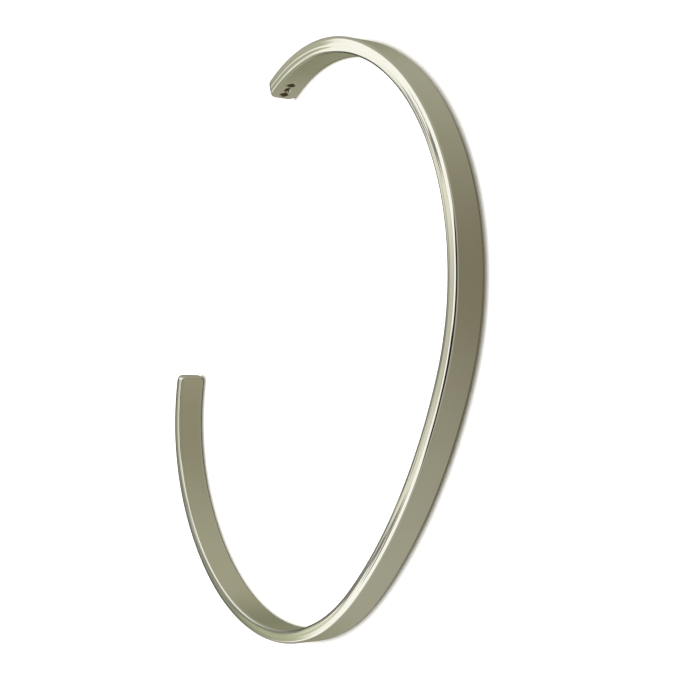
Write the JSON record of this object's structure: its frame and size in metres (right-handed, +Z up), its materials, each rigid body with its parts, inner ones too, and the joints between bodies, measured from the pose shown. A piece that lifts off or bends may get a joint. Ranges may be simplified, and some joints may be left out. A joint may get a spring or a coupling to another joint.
{
  "type": "torque bangle",
  "caption": "Slim open oval bangle bent from one flat bar, with softened corners, square rounded ends and a small row of plain punches inside one tip.",
  "frame": {"origin": "middle of the oval outline, on the plane that the bangle's lower narrow edge rests on", "axes": "+X to the middle of the closed back, -X to the gap, +Y to the arm with the marked tip, +Z up through the wrist hollow"},
  "size_m": [0.046, 0.062, 0.003],
  "materials": {
    "silver": "polished sterling silver with fine hand-polishing lines"
  },
  "bodies": {
    "root": {"bangle": "silver"}
  },
  "joints": []
}
